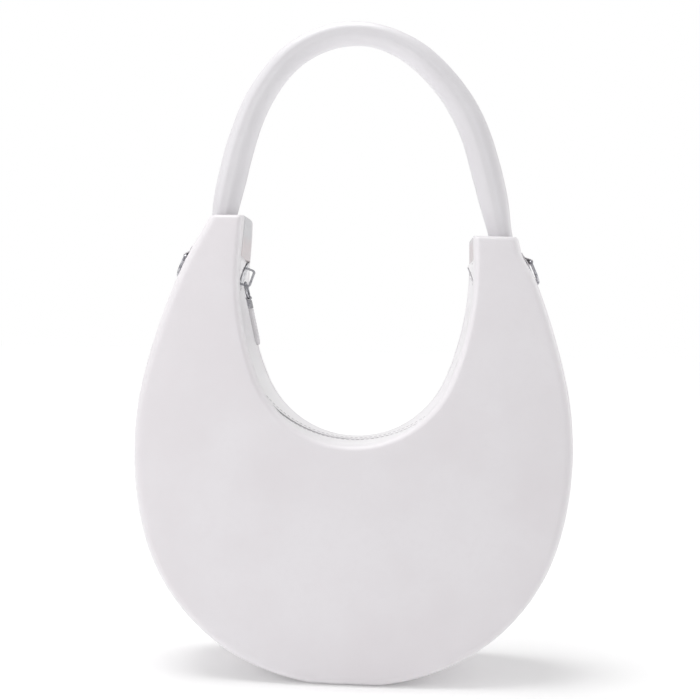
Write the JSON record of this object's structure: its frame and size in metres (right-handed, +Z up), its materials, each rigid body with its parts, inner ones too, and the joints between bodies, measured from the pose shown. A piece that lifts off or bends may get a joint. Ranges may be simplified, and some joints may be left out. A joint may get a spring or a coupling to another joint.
{
  "type": "half moon bag",
  "caption": "Crescent handbag of white leather with a zip round its deep U notch, a tubular handle between its horns and rings for a strap.",
  "frame": {"origin": "middle of the flat under the bag, where it stands", "axes": "+Z up to the handle, +X to the wearer's right in the picture's view, -Y out of the front panel"},
  "size_m": [0.2604, 0.08, 0.3961],
  "materials": {
    "white_leather": "smooth satin",
    "lining_cloth": "plain weave",
    "zip_tape": "woven tape",
    "zip_teeth": "moulded",
    "stiffener_board": "plain board",
    "polished_metal": "polished",
    "handle_core": "cotton filler cord"
  },
  "bodies": {
    "bag": {"front_panel": "white_leather", "back_panel": "white_leather", "outer_gusset": "white_leather", "front_zip_facing": "white_leather", "back_zip_facing": "white_leather", "left_zip_end_tab": "white_leather", "right_zip_end_tab": "white_leather", "left_horn_cap": "white_leather", "right_horn_cap": "white_leather", "handle_cover": "white_leather", "left_strap_loop": "white_leather", "right_strap_loop": "white_leather", "front_lining": "lining_cloth", "back_lining": "lining_cloth", "gusset_lining": "lining_cloth", "front_zip_tape": "zip_tape", "back_zip_tape": "zip_tape", "front_board": "stiffener_board", "back_board": "stiffener_board", "base_board": "stiffener_board", "zip_end_stops": "polished_metal", "front_zip_teeth": "zip_teeth", "back_zip_teeth": "zip_teeth", "handle_core": "handle_core"},
    "slider": {"zip_slider": "polished_metal", "slider_bail": "polished_metal"},
    "pull_ring": {"pull_ring": "polished_metal"},
    "pull_tab": {"pull_clamp": "polished_metal", "pull_tab": "white_leather"},
    "left_strap_ring": {"left_strap_ring": "polished_metal"},
    "right_strap_ring": {"right_strap_ring": "polished_metal"}
  },
  "joints": [
    {"name": "zip_run", "type": "hinge", "parent": "bag", "child": "slider", "pos_m": [0, 0, 0.21434], "axis": [0, -1, 0], "range_deg": [0, 217.8]},
    {"name": "pull_ring_swing", "type": "hinge", "parent": "slider", "child": "pull_ring", "pos_m": [-0.0689, 0, 0.23428], "axis": [0, -1, 0], "range_deg": [0, 82]},
    {"name": "pull_tab_swing", "type": "hinge", "parent": "pull_ring", "child": "pull_tab", "pos_m": [-0.0667, 0, 0.22473], "axis": [0, -1, 0], "range_deg": [0, 50]},
    {"name": "left_strap_ring_swing", "type": "hinge", "parent": "bag", "child": "left_strap_ring", "pos_m": [-0.10492, 0, 0.24987], "axis": [0, 1, 0], "range_deg": [0, 150]},
    {"name": "right_strap_ring_swing", "type": "hinge", "parent": "bag", "child": "right_strap_ring", "pos_m": [0.10492, 0, 0.24987], "axis": [0, -1, 0], "range_deg": [0, 150]}
  ]
}
